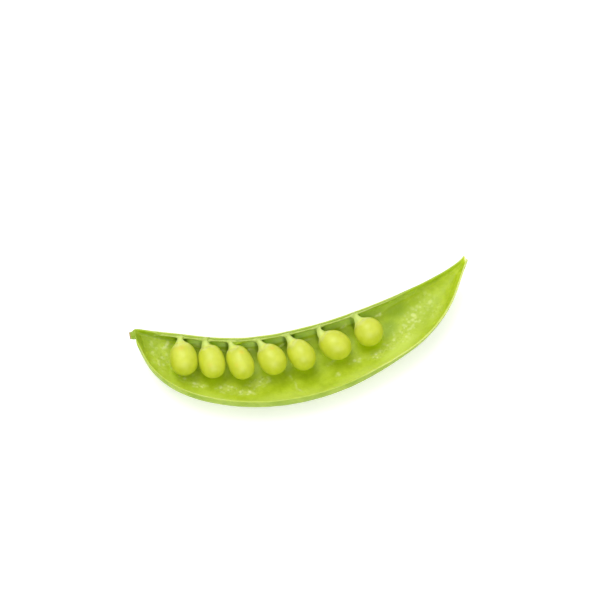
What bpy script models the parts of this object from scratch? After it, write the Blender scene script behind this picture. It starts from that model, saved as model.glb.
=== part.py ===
"""An opened sugar snap pea pod, lying on its belly: one valve of the shell, the string of its
ventral suture with the seed stalks that grow from it, and seven peas.

Metres, +Z up. +X runs from the stem end to the tip, +Y points to the suture that bears the peas,
and the origin is on the surface that the pod lies on, under the middle of its outline.
"""

import math

import bmesh
import bpy
import numpy as np
from mathutils import Vector
from mathutils.bvhtree import BVHTree

MM = 0.001

# Stations along the pod, from the neck at the stem end to the broken tip. Each line holds the
# plan position of the ventral rim, the plan position of the dorsal rim, the height of either
# rim, the depth of the outside below the rims, and where across the valve it is deepest (share
# of the width from the ventral rim).
STATIONS_MM = (
    ((-41.0, 13.6), (-41.2, 11.2), 7.0, 7.2, 1.9, 0.50),
    ((-39.5, 13.2), (-41.2, 8.2), 6.9, 7.3, 3.1, 0.50),
    ((-36.3, 12.0), (-40.1, 3.3), 6.7, 7.3, 4.5, 0.48),
    ((-31.6, 10.3), (-37.0, -2.1), 6.5, 7.3, 5.6, 0.47),
    ((-25.6, 8.05), (-30.6, -7.6), 6.3, 7.2, 6.3, 0.43),
    ((-17.0, 5.55), (-20.0, -12.0), 6.2, 7.1, 6.8, 0.40),
    ((-7.4, 4.55), (-8.6, -13.92), 6.2, 7.1, 6.9, 0.38),
    ((2.7, 4.8), (3.0, -13.4), 6.2, 7.1, 6.8, 0.38),
    ((13.1, 6.05), (14.6, -10.5), 6.3, 7.1, 6.3, 0.39),
    ((23.8, 8.0), (26.0, -5.8), 6.5, 7.2, 5.2, 0.42),
    ((33.4, 10.4), (34.9, 1.7), 6.8, 7.3, 3.6, 0.46),
    ((39.4, 12.6), (39.9, 8.9), 7.1, 7.4, 2.1, 0.50),
    ((41.8, 14.19), (42.5, 12.65), 7.3, 7.4, 1.3, 0.50),
)

# The wall's thickness, its most as a share of the valve's width, and how it thins to the rims.
WALL = 1.15 * MM
MOST_WALL_SHARE = 0.29
RIM_WALL_SHARE = 0.52
RIM_TAPER_ANGLE = math.radians(38)

# The section of the valve: under 1 is fuller than an ellipse, and each side bulges past its rim.
FULLNESS = 0.86
VENTRAL_BULGE = 0.12
DORSAL_BULGE = 0.13

# The bump that each pea has pushed into the wall below it.
PEA_BULGE = 0.22 * MM
PEA_BULGE_REACH = 3.4 * MM

# The short stub of the stem, grown into the neck: centres from inside the valve out to the cut
# end, and the radius at each.
STUB_MM = (
    ((-37.8, 11.9, 6.0), 0.4),
    ((-38.8, 12.1, 5.95), 0.95),
    ((-40.0, 12.3, 5.9), 1.2),
    ((-41.2, 12.45, 5.95), 1.15),
    ((-42.0, 12.55, 6.0), 0.95),
    ((-42.4, 12.6, 6.05), 0.85),
)
STUB_FINENESS = 4

# Peas, from the stem end: plan position of the centre, half widths along the pod, towards the
# stalk and up, and the turn of the stalk side from +Y towards -X, in degrees.
PEAS_MM = (
    ((-31.1, 3.7), (3.15, 4.05, 3.3), -2),
    ((-24.75, 1.6), (3.15, 4.2, 3.35), 6),
    ((-18.25, -0.2), (3.05, 4.4, 3.35), 13),
    ((-10.75, -1.25), (3.2, 4.0, 3.4), 21),
    ((-3.65, -1.7), (3.15, 4.15, 3.4), 22),
    ((4.9, -1.1), (3.45, 4.15, 3.45), 48),
    ((13.65, 0.3), (3.45, 3.6, 3.45), 28),
)
PEA_GAP = 0.35 * MM
PEA_LIFT_STEP = 0.03 * MM
PEA_EGG = 0.06

# Suture string, which runs inside the ventral rim. It starts and ends at shares of the pod's
# length, and thins over its ends.
STRING_RADIUS = 0.3 * MM
STRING_FROM, STRING_TO = 0.175, 0.80
STRING_INSET = 1.12 * MM
STRING_RISE = 0.12 * MM
STRING_STEPS = 46
STRING_TAPER = 0.08
STRING_END_SHARE = 0.5

# Stalks: where along X each leaves the string, and how it flares to the pad on its pea. Reach
# and rise are shares of the pea's half length, from its centre.
STALK_ROOTS_MM = (-30.6, -25.0, -19.5, -13.0, -5.8, 2.1, 11.4)
STALK_RADIUS = 0.5 * MM
STALK_PAD_RADIUS = 1.8 * MM
STALK_FLARE = 1.6
STALK_GAP = 0.32 * MM
STALK_REACH = 0.52
STALK_RISE = 0.16
STALK_ARCH = 0.5 * MM
STALK_STEPS = 8

COLUMNS = 56
ROWS = 18
PEA_SEGMENTS, PEA_RINGS = 24, 15
SHARP_ANGLE = math.radians(50)
SAME_POINT = 0.001 * MM
HALVINGS = 30

# Linear colour and roughness of each material.
POD_GREEN = (0.36, 0.52, 0.05, 1.0), 0.42
STRING_PALE = (0.62, 0.76, 0.22, 1.0), 0.38
PEA_YELLOW = (0.68, 0.78, 0.12, 1.0), 0.35


def clear_scene():
    for obj in list(bpy.data.objects):
        bpy.data.objects.remove(obj, do_unlink=True)


def new_collection(name):
    collection = bpy.data.collections.new(name)
    bpy.context.scene.collection.children.link(collection)
    return collection


def material(name, look):
    colour, roughness = look
    made = bpy.data.materials.new(name)
    made.use_nodes = True
    shader = made.node_tree.nodes["Principled BSDF"]
    shader.inputs["Base Color"].default_value = colour
    shader.inputs["Roughness"].default_value = roughness
    shader.inputs["Metallic"].default_value = 0.0
    return made


def spline(values, at):
    """Natural cubic spline through values at 0, 1, 2, ..., read at the numbers in at."""
    values = np.asarray(values, float).reshape(len(values), -1)
    count = len(values)
    system = np.eye(count)
    right = np.zeros_like(values)
    for i in range(1, count - 1):
        system[i, i - 1 : i + 2] = 1, 4, 1
        right[i] = 6 * (values[i - 1] - 2 * values[i] + values[i + 1])
    bend = np.linalg.solve(system, right)
    at = np.clip(np.atleast_1d(np.asarray(at, float)), 0, count - 1)
    i = np.minimum(at.astype(int), count - 2)
    f = (at - i)[:, None]
    g = 1 - f
    return (
        g * values[i]
        + f * values[i + 1]
        + ((g**3 - g) * bend[i] + (f**3 - f) * bend[i + 1]) / 6
    )


def stations(along):
    """The stations' values at along, from 0 at the neck to 1 at the tip, in metres."""
    at = np.asarray(along, float) * (len(STATIONS_MM) - 1)
    ventral = spline([s[0] for s in STATIONS_MM], at) * MM
    dorsal = spline([s[1] for s in STATIONS_MM], at) * MM
    heights = spline([s[2:5] for s in STATIONS_MM], at) * MM
    deepest = spline([s[5] for s in STATIONS_MM], at)[:, 0]
    return ventral, dorsal, heights[:, 0], heights[:, 1], heights[:, 2], deepest


def outer_points(along, angle):
    """Points of the valve's outside. angle is 0 at the ventral rim and pi at the dorsal one."""
    ventral, dorsal, ventral_z, dorsal_z, depth, deepest = stations(along)
    sine, cosine = np.sin(angle), np.cos(angle)
    bulge = np.where(cosine > 0, -VENTRAL_BULGE, DORSAL_BULGE)
    share = (1 - cosine) / 2 + (deepest - 0.5) * sine**2 + bulge * sine * cosine**2
    x, y = (ventral + (dorsal - ventral) * share[:, None]).T
    z = ventral_z + (dorsal_z - ventral_z) * share - depth * sine**FULLNESS
    z = z - pea_bulge(x, y) * sine
    return np.column_stack([x, y, np.maximum(z, 0.0)])


def pea_bulge(x, y):
    """How far each pea has pushed the wall out, at plan positions x and y."""
    found = np.zeros_like(x)
    for (pea_x, pea_y), _, _ in PEAS_MM:
        away = (x - pea_x * MM) ** 2 + (y - pea_y * MM) ** 2
        found = found + PEA_BULGE * np.exp(-away / PEA_BULGE_REACH**2)
    return found


def make_valve(collection, green):
    """The shell: an open grid shaped as the valve's outside, thickened inwards."""
    mesh = bpy.data.meshes.new("pod_valve")
    grid = bmesh.new()
    bmesh.ops.create_grid(grid, x_segments=COLUMNS, y_segments=ROWS, size=1.0)
    along = np.array([(v.co.x + 1) / 2 for v in grid.verts])
    angle = np.array([(1 - v.co.y) / 2 * math.pi for v in grid.verts])
    for vert, point in zip(grid.verts, outer_points(along, angle)):
        vert.co = point
    # The grid's own faces look up, and the outside looks down.
    bmesh.ops.reverse_faces(grid, faces=grid.faces)
    grid.to_mesh(mesh)
    grid.free()
    valve = bpy.data.objects.new("pod_valve", mesh)
    collection.objects.link(valve)
    mesh.materials.append(green)

    # The wall thins towards the rims, and towards the ends, where the valve gets narrow.
    thickness = valve.vertex_groups.new(name="wall")
    taper = np.clip(np.minimum(angle, math.pi - angle) / RIM_TAPER_ANGLE, 0, 1)
    ventral, dorsal = stations(along)[:2]
    width = np.linalg.norm(dorsal - ventral, axis=1)
    most = np.minimum(1, MOST_WALL_SHARE * width / WALL)
    for index, share in enumerate(most * (RIM_WALL_SHARE + (1 - RIM_WALL_SHARE) * taper)):
        thickness.add([index], float(share), "REPLACE")
    shell = valve.modifiers.new("shell", "SOLIDIFY")
    shell.thickness = WALL
    shell.offset = -1.0
    shell.vertex_group = thickness.name
    return valve


def apply_modifiers(obj):
    """Swaps the object's mesh for what its modifiers make of it."""
    graph = bpy.context.evaluated_depsgraph_get()
    made = bpy.data.meshes.new_from_object(obj.evaluated_get(graph))
    obj.modifiers.clear()
    obj.data = made


def shade(obj):
    obj.data.shade_smooth()
    obj.data.set_sharp_from_angle(angle=SHARP_ANGLE)


def tube(name, points, radii, collection, fineness=2):
    """A round tube through the points, as a curve that becomes a closed mesh."""
    curve = bpy.data.curves.new(name, "CURVE")
    curve.dimensions = "3D"
    curve.bevel_depth = 1.0
    curve.bevel_resolution = fineness
    curve.use_fill_caps = True
    line = curve.splines.new("POLY")
    line.points.add(len(points) - 1)
    for node, point, radius in zip(line.points, points, radii):
        node.co = (*point, 1)
        node.radius = radius
    holder = bpy.data.objects.new(name, curve)
    collection.objects.link(holder)
    bpy.context.view_layer.update()
    graph = bpy.context.evaluated_depsgraph_get()
    mesh = bpy.data.meshes.new_from_object(holder.evaluated_get(graph))
    bpy.data.objects.remove(holder)
    closed = bmesh.new()
    closed.from_mesh(mesh)
    bmesh.ops.remove_doubles(closed, verts=closed.verts, dist=SAME_POINT)
    bmesh.ops.recalc_face_normals(closed, faces=closed.faces)
    closed.to_mesh(mesh)
    closed.free()
    obj = bpy.data.objects.new(name, mesh)
    collection.objects.link(obj)
    return obj


def join(obj, others, operation):
    """Adds the meshes of a collection to the object's, or cuts them from it, and uses them up."""
    boolean = obj.modifiers.new(operation.lower(), "BOOLEAN")
    boolean.operation = operation
    boolean.operand_type = "COLLECTION"
    boolean.collection = others
    bpy.context.view_layer.update()
    apply_modifiers(obj)
    for other in list(others.objects):
        bpy.data.objects.remove(other, do_unlink=True)


def add_stub(valve, necks):
    """The stem's stub, grown into the neck of the valve."""
    points = [Vector(point) * MM for point, _ in STUB_MM]
    radii = [radius * MM for _, radius in STUB_MM]
    tube("stem_stub", points, radii, necks, STUB_FINENESS)
    join(valve, necks, "UNION")


def tree_of(obj):
    """The object's faces, for finding how near a point is to them."""
    return BVHTree.FromPolygons(
        [obj.matrix_world @ v.co for v in obj.data.vertices],
        [tuple(p.vertices) for p in obj.data.polygons],
    )


def lift_clear(points, tree, gap, low):
    """The lowest rise of points, from low up, that leaves gap to the tree all round."""
    rise = Vector((0, 0, low))
    while min(tree.find_nearest(p + rise)[3] for p in points) < gap:
        rise.z += PEA_LIFT_STEP
    return rise.z


def pea_mesh(name, half_widths, swell=0.0):
    """A pea's closed skin round its own centre, a little narrower on its stalk side, +Y."""
    half_width, half_length, half_height = (h * MM + swell for h in half_widths)
    mesh = bpy.data.meshes.new(name)
    ball = bmesh.new()
    bmesh.ops.create_uvsphere(
        ball, u_segments=PEA_SEGMENTS, v_segments=PEA_RINGS, radius=1.0
    )
    for vert in ball.verts:
        # The sphere's poles lie along the pea's length.
        side, height, length = vert.co
        narrow = 1 - PEA_EGG * length
        vert.co = (
            side * narrow * half_width,
            length * half_length,
            height * narrow * half_height,
        )
    # Swapping two axes has turned the sphere inside out.
    bmesh.ops.reverse_faces(ball, faces=ball.faces)
    ball.to_mesh(mesh)
    ball.free()
    mesh.shade_smooth()
    return mesh


def make_pea(number, pea, valve_tree, collection, yellow):
    """A pea lying on the wall below it."""
    (x, y), half_widths, turn = pea
    mesh = pea_mesh(f"pea_{number}", half_widths)
    mesh.materials.append(yellow)
    obj = bpy.data.objects.new(f"pea_{number}", mesh)
    collection.objects.link(obj)
    obj.rotation_euler = (0, 0, math.radians(turn))
    obj.location = (x * MM, y * MM, 0)
    bpy.context.view_layer.update()
    points = [obj.matrix_world @ v.co for v in mesh.vertices]
    above_wall = WALL + half_widths[2] * MM
    obj.location.z = lift_clear(points, valve_tree, PEA_GAP, above_wall)
    bpy.context.view_layer.update()
    return obj


def make_clearance(number, half_widths, pea, clearances):
    """A swollen copy of a pea, which cuts its stalk back from its skin."""
    mesh = pea_mesh(f"pea_clearance_{number}", half_widths, swell=STALK_GAP)
    obj = bpy.data.objects.new(f"pea_clearance_{number}", mesh)
    clearances.objects.link(obj)
    obj.matrix_world = pea.matrix_world


def string_point(along):
    """The string's centre at along, close inside the ventral rim."""
    ventral, dorsal, height, _, _, _ = (value[0] for value in stations([along]))
    across = Vector(dorsal - ventral).normalized()
    inside = Vector(ventral) + across * STRING_INSET
    return Vector((inside.x, inside.y, height + STRING_RISE))


def along_at(x):
    """Where along the pod the string passes the plan position x."""
    low, high = 0.0, 1.0
    for _ in range(HALVINGS):
        middle = (low + high) / 2
        if string_point(middle).x < x:
            low = middle
        else:
            high = middle
    return low


def stalk_line(root, pea):
    """A stalk's line from the string into the pea's stalk side, bending over from above."""
    turned = pea.matrix_world.to_3x3() @ Vector((0, 1, 0))
    half_length = max(v.co.y for v in pea.data.vertices)
    end = pea.matrix_world.translation + turned * half_length * STALK_REACH
    end.z += half_length * STALK_RISE
    middle = root.lerp(end, 0.5) + Vector((0, 0, STALK_ARCH))
    shares = np.linspace(0, 1, STALK_STEPS)
    line = [root.lerp(middle, t).lerp(middle.lerp(end, t), t) for t in shares]
    widths = STALK_RADIUS + (STALK_PAD_RADIUS - STALK_RADIUS) * shares**STALK_FLARE
    return line, widths


def make_string(peas, collection, stalks, clearances, pale):
    """The string with its seven stalks, joined into one body, clear of the peas."""
    shares = np.linspace(0, 1, STRING_STEPS)
    ends = np.clip(np.minimum(shares, 1 - shares) / STRING_TAPER, STRING_END_SHARE, 1)
    line = [string_point(STRING_FROM + (STRING_TO - STRING_FROM) * s) for s in shares]
    string = tube("suture_string", line, STRING_RADIUS * ends, collection)
    string.data.materials.append(pale)
    for number, (x, pea) in enumerate(zip(STALK_ROOTS_MM, peas), 1):
        stalk, widths = stalk_line(string_point(along_at(x * MM)), pea)
        tube(f"stalk_{number}", stalk, widths, stalks)
    join(string, stalks, "UNION")
    join(string, clearances, "DIFFERENCE")
    return string


def main():
    clear_scene()
    pod = new_collection("sugar_snap_pea_pod")
    necks = new_collection("necks")
    clearances = new_collection("pea_clearances")
    stalks = new_collection("stalks")
    green = material("pod_green", POD_GREEN)
    pale = material("string_pale", STRING_PALE)
    yellow = material("pea_yellow_green", PEA_YELLOW)

    valve = make_valve(pod, green)
    bpy.context.view_layer.update()
    add_stub(valve, necks)
    shade(valve)
    valve_tree = tree_of(valve)
    peas = []
    for number, pea in enumerate(PEAS_MM, 1):
        peas.append(make_pea(number, pea, valve_tree, pod, yellow))
        make_clearance(number, pea[1], peas[-1], clearances)
    shade(make_string(peas, pod, stalks, clearances, pale))


main()
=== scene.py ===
"""The looks of an opened sugar snap pea pod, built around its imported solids.

Metres, +Z up. +X runs from the stem end to the tip, +Y points to the suture that bears the peas.
"""

import math

import bmesh
import bpy
import numpy as np
from mathutils import Matrix, Vector, noise


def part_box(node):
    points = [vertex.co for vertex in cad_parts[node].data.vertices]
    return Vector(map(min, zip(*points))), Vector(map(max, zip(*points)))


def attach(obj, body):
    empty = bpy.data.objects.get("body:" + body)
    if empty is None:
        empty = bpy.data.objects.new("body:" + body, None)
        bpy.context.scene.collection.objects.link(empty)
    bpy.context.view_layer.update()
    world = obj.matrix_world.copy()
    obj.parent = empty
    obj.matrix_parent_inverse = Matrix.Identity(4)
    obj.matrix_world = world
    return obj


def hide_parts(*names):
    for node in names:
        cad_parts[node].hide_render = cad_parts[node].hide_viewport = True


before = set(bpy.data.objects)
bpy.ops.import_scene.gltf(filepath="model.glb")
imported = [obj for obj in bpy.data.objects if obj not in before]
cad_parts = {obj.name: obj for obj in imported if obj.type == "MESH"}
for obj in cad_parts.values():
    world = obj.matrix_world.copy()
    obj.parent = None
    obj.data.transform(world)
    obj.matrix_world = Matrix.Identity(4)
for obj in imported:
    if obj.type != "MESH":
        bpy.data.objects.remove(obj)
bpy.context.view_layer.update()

MM = 0.001

# The stations of the valve, as in the part's source: ventral rim, dorsal rim, the height of each
# rim, the depth of the outside below the rims, and where across the valve it is deepest.
STATIONS_MM = (
    ((-41.0, 13.6), (-41.2, 11.2), 7.0, 7.2, 1.9, 0.50),
    ((-39.5, 13.2), (-41.2, 8.2), 6.9, 7.3, 3.1, 0.50),
    ((-36.3, 12.0), (-40.1, 3.3), 6.7, 7.3, 4.5, 0.48),
    ((-31.6, 10.3), (-37.0, -2.1), 6.5, 7.3, 5.6, 0.47),
    ((-25.6, 8.05), (-30.6, -7.6), 6.3, 7.2, 6.3, 0.43),
    ((-17.0, 5.55), (-20.0, -12.0), 6.2, 7.1, 6.8, 0.40),
    ((-7.4, 4.55), (-8.6, -13.92), 6.2, 7.1, 6.9, 0.38),
    ((2.7, 4.8), (3.0, -13.4), 6.2, 7.1, 6.8, 0.38),
    ((13.1, 6.05), (14.6, -10.5), 6.3, 7.1, 6.3, 0.39),
    ((23.8, 8.0), (26.0, -5.8), 6.5, 7.2, 5.2, 0.42),
    ((33.4, 10.4), (34.9, 1.7), 6.8, 7.3, 3.6, 0.46),
    ((39.4, 12.6), (39.9, 8.9), 7.1, 7.4, 2.1, 0.50),
    ((41.8, 14.19), (42.5, 12.65), 7.3, 7.4, 1.3, 0.50),
)

# The wall: its thickness, the most of the valve's width that it takes, the fullness of its section
# (1 is an ellipse, less is fuller), its bulges beside the rims, and how far each pea pushes it out.
WALL = 1.15 * MM
MOST_WALL_SHARE = 0.29
FULLNESS = 0.86
VENTRAL_BULGE = 0.12
DORSAL_BULGE = 0.13
PEA_BULGE = 0.22 * MM
PEA_BULGE_REACH = 3.4 * MM

# Peas, as in the part's source: plan position, half widths along the pod, towards the stalk and
# up, and the turn of the stalk side from +Y towards -X, in degrees.
PEAS_MM = (
    ((-31.1, 3.7), (3.15, 4.05, 3.3), -2),
    ((-24.75, 1.6), (3.15, 4.2, 3.35), 6),
    ((-18.25, -0.2), (3.05, 4.4, 3.35), 13),
    ((-10.75, -1.25), (3.2, 4.0, 3.4), 21),
    ((-3.65, -1.7), (3.15, 4.15, 3.4), 22),
    ((4.9, -1.1), (3.45, 4.15, 3.45), 48),
    ((13.65, 0.3), (3.45, 3.6, 3.45), 28),
)
PEAS = range(1, len(PEAS_MM) + 1)

# How each pea differs from a plain ellipsoid: how square its plan is (2 is round), how much it
# narrows to the stalk, a further turn in degrees, and its size.
PEA_LOOKS = (
    (2.25, 0.06, 0, 1.045),
    (2.3, 0.0, -4, 1.01),
    (2.35, 0.05, -3, 1.0),
    (2.1, 0.05, -2, 1.02),
    (2.05, 0.07, -2, 1.005),
    (2.0, 0.05, -4, 1.0),
    (2.0, 0.03, 0, 1.005),
)

# The string: its radius, the part of the pod that it runs along, how far inside the rim it lies,
# how far its ends drop, and the share of its length over which they do.
STRING_RADIUS = 0.2 * MM
STRING_FROM = 0.165
STRING_TO = 0.76
STRING_INSET = 0.86 * MM
STRING_END_DROP = 0.4 * MM
STRING_END_SHARE = 0.07

# Where along the pod each stalk leaves the string, how much thicker the string is there, how far
# along it that reaches, and how far the stalk's root stands up over it.
STALK_ROOTS_MM = (-30.6, -25.0, -19.5, -13.0, -5.8, 2.1, 11.4)
ROOT_SWELLS_MM = (0.25, 0.38, 0.22, 0.25, 0.28, 0.28, 0.28)
ROOT_REACH = 1.1 * MM
ROOT_LIFTS_MM = (0.15, 0.7, 0.1, 0.15, 0.25, 0.2, 0.1)

# How far apart the seeds of the noise lie.
SEED_SHIFT = 17.3

# Fineness of the meshes and of lines that are searched, and the step that slopes are taken over.
VALVE_COLUMNS = 460
END_COLUMNS = 6
OUTER_ROWS = 56
INNER_ROWS = 104
RIM_ROWS = 13
STUB_LOOPS = 46
PEA_COLUMNS = 64
PEA_ROWS = 88
PEA_POLE = 0.02
STRING_LOOPS = 520
STRING_ROWS = 16
STALK_LOOPS = 44
STALK_ROWS = 40
STRING_VOXEL = 0.075 * MM
STRING_ROUNDS = 3
SEARCHED_PLACES = 2000
SEARCHED_ROOTS = 800
STEP = 1e-3

# Rims: the share of the wall that is left at them, the angle where the wall is whole again, how
# high and how full their rounding is, and how far their paleness reaches down the wall at the tip.
RIM_WALL_SHARE = 0.38
RIM_TAPER_ANGLE = math.radians(30)
RIM_HEIGHT = 0.6
RIM_FULLNESS = 0.8
RIM_FADE = math.radians(3)

# The groove beside the string: its depth, as a share of the rim's half width, and its half width,
# as a turn over the rim.
GROOVE_DEPTH = 0.55
GROOVE_TURN = 0.5

# How much thicker the wall is at the ventral rim under the string, at the dorsal rim near the stem
# end and at both rims of the tip, and how far down the wall each reaches.
BED_WIDTH = 0.5 * MM
BED_ANGLE = math.radians(8)
DORSAL_WIDENING = 0.35 * MM
DORSAL_WIDENING_ANGLE = math.radians(12)
TIP_WIDENING = 0.2 * MM
TIP_VENTRAL_SHARE = 0.6

# The torn tip: how much its rims swell to knobs, and how flat its section is.
TIP_KNOB = 1.3
TIP_FLATNESS = 0.72

# The neck: how far along the pod the hollow is filled, and how deep the fill sags.
NECK_FILLED = 0.075
NECK_DIP = 0.25 * MM

# The rounding of the wall at both ends, and the least share of the wall that is left there.
END_ROUND = 0.35 * MM
LEAST_END = 0.35

# How far the outside is drawn in under the dorsal rim, left and right of the middle, and the
# degrees below the rim over which that comes and goes.
TUCK_LEFT = 0.52 * MM
TUCK_RIGHT = 0.35 * MM
TUCK_COMES = (0, 14)
TUCK_GOES = (20, 60)

# How softly the flat spot under the pod meets the rest.
FLAT_SOFTNESS = 0.04 * MM

# The peas' seats: how far the wall rises into a pea, and how far round it the rise reaches.
SEAT_OVERLAP = 0.04 * MM
SEAT_REACH = 1.7 * MM

# Ranges along the pod, from the neck at 0 to the tip at 1. A single pair is where something starts
# and ends its smooth rise, and a double one where it comes and where it goes again.
STRING_RUNS = ((0.15, 0.19), (0.71, 0.79))
STRING_NEARS_RIM = (0.62, 0.72)
DORSAL_WIDENED = ((0.03, 0.1), (0.3, 0.5))
TUCKED_LEFT = ((0.04, 0.12), (0.28, 0.5))
TUCKED_RIGHT = ((0.62, 0.72), (0.88, 0.96))
TIP_WIDENED = (0.9, 0.99)
TIP_FLATTENED = (0.96, 1.0)
TIP_KNOBS = (0.976, 0.988)
TIP_TORN = (0.980, 0.988)
DORSAL_LINE_STARTS = (0.02, 0.12)
DORSAL_LINE_WIDENS = (0.26, 0.42)
DORSAL_LINE_FAINT = ((0.34, 0.42), (0.6, 0.68))
DORSAL_LINE_STRONG = (0.78, 0.86)
VENTRAL_LINE_STARTS = (0.1, 0.2)
VENTRAL_LINE_WEAK = ((0.73, 0.77), (0.9, 0.97))
RIMS_PALE = (0.9, 0.97)
# Where the band of painted light under the string shows, and where it is weaker.
BAND_SHOWN = ((0.25, 0.3), (0.74, 0.86))
BAND_WEAKER = (0.5, 0.6)
BAND_WEAKEST = (0.66, 0.71)
# Where the wall under the string gets painted shade, and where it is spared.
SHADE_UNDER_STRING = ((0.03, 0.1), (0.8, 0.95))
SHADE_SPARED = ((0.25, 0.29), (0.67, 0.71))


def srgb(red, green, blue):
    """Linear colour from the usual 0 to 255 values."""
    shares = np.array([red, green, blue]) / 255
    linear = np.where(shares <= 0.04045, shares / 12.92, ((shares + 0.055) / 1.055) ** 2.4)
    return (*linear.tolist(), 1.0)


def smooth(value, low, high):
    """0 below low, 1 above high, and a smooth rise between them."""
    share = np.clip((np.asarray(value, float) - low) / (high - low), 0, 1)
    return share * share * (3 - 2 * share)


def between(value, rise, fall):
    """0, then 1 from the smooth rise to the smooth fall, then 0 again."""
    return smooth(value, *rise) * (1 - smooth(value, *fall))


def bell(value, width):
    """1 at 0, and falling smoothly to both sides over about width."""
    return np.exp(-((np.asarray(value) / width) ** 2))


def norm(vectors):
    return np.linalg.norm(vectors, axis=-1)


def unit(vectors):
    return vectors / norm(vectors)[..., None]


def full_turn(count):
    """That many turns, evenly over a full one."""
    return np.linspace(0, 2 * math.pi, count, endpoint=False)


def lumps(points, size, seed):
    """Smooth noise, about -1 to 1, at each point. size is the size of its lumps."""
    places = points.reshape(-1, 3) / size + seed * SEED_SHIFT
    values = [noise.noise(Vector(place)) for place in places]
    return np.array(values).reshape(points.shape[:-1])


def spline(values, at):
    """Natural cubic spline through values at 0, 1, 2, ..., read at the numbers in at."""
    values = np.asarray(values, float).reshape(len(values), -1)
    count = len(values)
    system = np.eye(count)
    right = np.zeros_like(values)
    for i in range(1, count - 1):
        system[i, i - 1 : i + 2] = 1, 4, 1
        right[i] = 6 * (values[i - 1] - 2 * values[i] + values[i + 1])
    bend = np.linalg.solve(system, right)
    at = np.clip(np.atleast_1d(np.asarray(at, float)), 0, count - 1)
    i = np.minimum(at.astype(int), count - 2)
    f = (at - i)[:, None]
    g = 1 - f
    return (
        g * values[i]
        + f * values[i + 1]
        + ((g**3 - g) * bend[i] + (f**3 - f) * bend[i + 1]) / 6
    )


def stations(along):
    """The stations' values at along, from 0 at the neck to 1 at the tip, in metres."""
    at = np.asarray(along, float) * (len(STATIONS_MM) - 1)
    ventral = spline([s[0] for s in STATIONS_MM], at) * MM
    dorsal = spline([s[1] for s in STATIONS_MM], at) * MM
    heights = spline([s[2:5] for s in STATIONS_MM], at) * MM
    deepest = spline([s[5] for s in STATIONS_MM], at)[:, 0]
    return ventral, dorsal, heights[:, 0], heights[:, 1], heights[:, 2], deepest


def pea_bulge(x, y):
    """How far each pea has pushed the wall out, at plan positions x and y."""
    found = np.zeros_like(x)
    for (pea_x, pea_y), _, _ in PEAS_MM:
        away = np.hypot(x - pea_x * MM, y - pea_y * MM)
        found = found + PEA_BULGE * bell(away, PEA_BULGE_REACH)
    return found


def outside(along, angle):
    """Points of the valve's outside, before the flat spot. angle is 0 at the ventral rim."""
    along, angle = np.broadcast_arrays(along, angle)
    shape = along.shape
    angle = angle.ravel()
    ventral, dorsal, ventral_z, dorsal_z, depth, deepest = stations(along.ravel())
    sine, cosine = np.sin(angle), np.cos(angle)
    sine = np.maximum(sine, 0)
    bulge = np.where(cosine > 0, -VENTRAL_BULGE, DORSAL_BULGE)
    share = (1 - cosine) / 2 + (deepest - 0.5) * sine**2 + bulge * sine * cosine**2
    x, y = (ventral + (dorsal - ventral) * share[:, None]).T
    z = ventral_z + (dorsal_z - ventral_z) * share - depth * sine**FULLNESS
    z = z - pea_bulge(x, y) * sine
    return np.column_stack([x, y, z]).reshape(*shape, 3)


def outward(along, angle):
    """Unit normals of the outside, and unit tangents towards the dorsal rim."""
    low, high = np.maximum(along - STEP, 0), np.minimum(along + STEP, 1)
    lengthwise = outside(high, angle) - outside(low, angle)
    low, high = np.maximum(angle - STEP, 0), np.minimum(angle + STEP, math.pi)
    across = outside(along, high) - outside(along, low)
    return unit(np.cross(lengthwise, across)), unit(across)


def column_places():
    """Where along the pod the columns lie, and how far each end has rounded its wall off."""
    along = np.linspace(0, 1, SEARCHED_PLACES)
    middle = outside(along, np.full_like(along, math.pi / 2))
    length = np.concatenate([[0], np.cumsum(norm(np.diff(middle, axis=0)))])
    turns = np.linspace(math.asin(LEAST_END), math.pi / 2, END_COLUMNS)
    ends = END_ROUND * (math.cos(turns[0]) - np.cos(turns))
    main = np.linspace(ends[-1], length[-1] - ends[-1], VALVE_COLUMNS)
    places = np.concatenate([ends[:-1], main, length[-1] - ends[-2::-1]])
    round_off = np.ones_like(places)
    round_off[: END_COLUMNS - 1] = np.sin(turns[:-1])
    round_off[-(END_COLUMNS - 1) :] = np.sin(turns[:-1])[::-1]
    return np.interp(places, length, along), round_off


def loop_mesh(name, loops):
    """A closed skin over closed loops of points, one loop a column, with both ends filled."""
    columns, rows = loops.shape[:2]
    index = np.arange(columns * rows).reshape(columns, rows)
    here, following = index[:-1], index[1:]
    quads = np.stack(
        [here, np.roll(here, -1, 1), np.roll(following, -1, 1), following], axis=-1
    )
    faces = quads.reshape(-1, 4).tolist()
    faces += [index[0][::-1].tolist(), index[-1].tolist()]
    mesh = bpy.data.meshes.new(name)
    mesh.from_pydata(loops.reshape(-1, 3).tolist(), [], faces)
    skin = bmesh.new()
    skin.from_mesh(mesh)
    if skin.calc_volume(signed=True) < 0:
        bmesh.ops.reverse_faces(skin, faces=skin.faces)
    skin.to_mesh(mesh)
    skin.free()
    mesh.shade_smooth()
    return mesh


def mark(mesh, name, values):
    """Keeps one number at each vertex for the material to read."""
    layer = mesh.attributes.new(name, "FLOAT", "POINT")
    layer.data.foreach_set("value", np.asarray(values, np.float32).ravel())


def new_object(name, data):
    made = bpy.data.objects.new(name, data)
    bpy.context.scene.collection.objects.link(made)
    return made


def add_piece(name, mesh, material, slot, *replaced):
    piece = new_object(name, mesh)
    mesh.materials.append(material)
    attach(piece, "root")
    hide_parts(*replaced)


# Node materials.

SHINE = 0.26
PEA_SHINE = 0.8
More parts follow.
